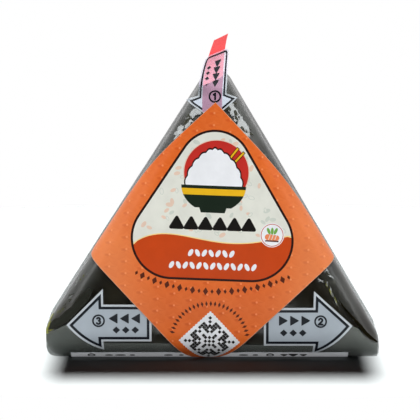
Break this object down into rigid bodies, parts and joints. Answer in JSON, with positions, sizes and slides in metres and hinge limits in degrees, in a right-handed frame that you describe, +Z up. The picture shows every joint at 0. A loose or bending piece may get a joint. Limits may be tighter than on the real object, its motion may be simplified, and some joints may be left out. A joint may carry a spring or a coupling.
{
  "type": "wrapped onigiri",
  "caption": "Triangular rice ball in a seaweed wrap and clear film, standing on its narrow base, with a square front label, a base label and a red tear tape at the top.",
  "frame": {"origin": "on the surface the pack stands on, under the middle of its bounding box", "axes": "+Z up towards the apex, -Y out of the labelled front, +X to the right as the front is seen"},
  "size_m": [0.0958, 0.0375, 0.093],
  "materials": {
    "wrapped_seaweed": "dark green-black roasted seaweed sheet under tight clear glossy film, printed with white-edged grey arrows",
    "front_label_paper": null,
    "base_label_paper": "plain white label paper with short dark dashes",
    "printed_film": "clear film with a see-through white print and a dark line",
    "tear_tape_film": "coral-red plastic tear tape, slightly see-through"
  },
  "bodies": {
    "root": {"wrapped_body": "wrapped_seaweed", "front_label": "front_label_paper", "base_label": "base_label_paper", "film_tail": "printed_film", "tear_tape": "tear_tape_film"}
  },
  "joints": []
}
